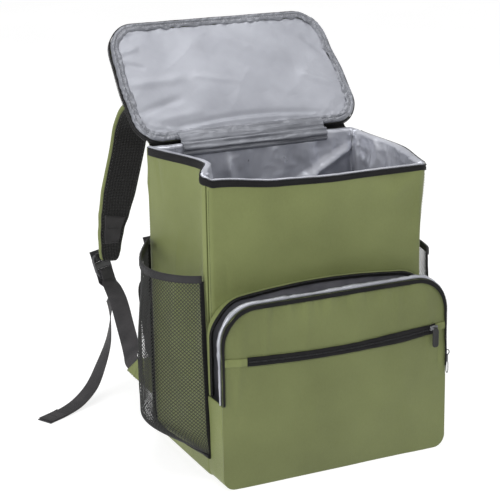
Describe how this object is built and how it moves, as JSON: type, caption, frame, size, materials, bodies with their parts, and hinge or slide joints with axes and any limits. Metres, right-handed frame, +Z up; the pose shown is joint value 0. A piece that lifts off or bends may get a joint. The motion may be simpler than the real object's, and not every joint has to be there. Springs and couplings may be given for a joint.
{
  "type": "cooler backpack",
  "caption": "Upright insulated backpack with its padded lid open, a box pocket on the front, mesh pockets on the sides and padded shoulder straps with webbing.",
  "frame": {"origin": "middle of the underside of the main compartment's base", "axes": "+Z up, -Y towards the front pocket, +X to the right of someone who faces the front pocket"},
  "size_m": [0.4782, 0.4725, 0.5289],
  "materials": {
    "green_fabric": "matt olive woven polyester",
    "silver_lining": "silver-grey welded foil lining, satin",
    "grey_lining": "plain dark grey lining cloth",
    "black_tape": "black woven tape and webbing",
    "black_mesh": "open black polyester net",
    "hard_plastic": "moulded black acetal, low sheen",
    "slider_metal": "dark zip slider"
  },
  "bodies": {
    "root": {"front_panel": "green_fabric", "right_panel": "green_fabric", "back_panel": "green_fabric", "left_panel": "green_fabric", "base_panel": "green_fabric", "lid_cover": "green_fabric", "hinge_strip": "green_fabric", "pocket_face_upper": "green_fabric", "pocket_face_lower": "green_fabric", "pocket_gusset": "green_fabric", "strap_pad_left": "green_fabric", "strap_pad_right": "green_fabric", "anchor_tab_left": "green_fabric", "anchor_tab_right": "green_fabric", "lining": "silver_lining", "lid_lining": "silver_lining", "lid_binding": "silver_lining", "hinge_flap": "silver_lining", "pocket_edge_binding": "silver_lining", "pocket_lining": "grey_lining", "rim_zip_tape": "black_tape", "lid_zip_tape": "black_tape", "small_zip_tape": "black_tape", "pocket_face_tape": "black_tape", "pocket_back_tape": "black_tape", "mesh_band_left": "black_tape", "mesh_band_right": "black_tape", "mesh_trim_left": "black_tape", "mesh_trim_right": "black_tape", "lock_loop_left": "black_tape", "lock_loop_right": "black_tape", "webbing_left": "black_tape", "webbing_right": "black_tape", "mesh_pocket_left": "black_mesh", "mesh_pocket_right": "black_mesh", "strap_mesh_left": "black_mesh", "strap_mesh_right": "black_mesh", "ladder_lock_left": "hard_plastic", "ladder_lock_right": "hard_plastic", "small_zip_pull": "hard_plastic", "pocket_zip_pull": "hard_plastic", "small_zip_slider": "slider_metal", "pocket_zip_slider": "slider_metal"}
  },
  "joints": []
}
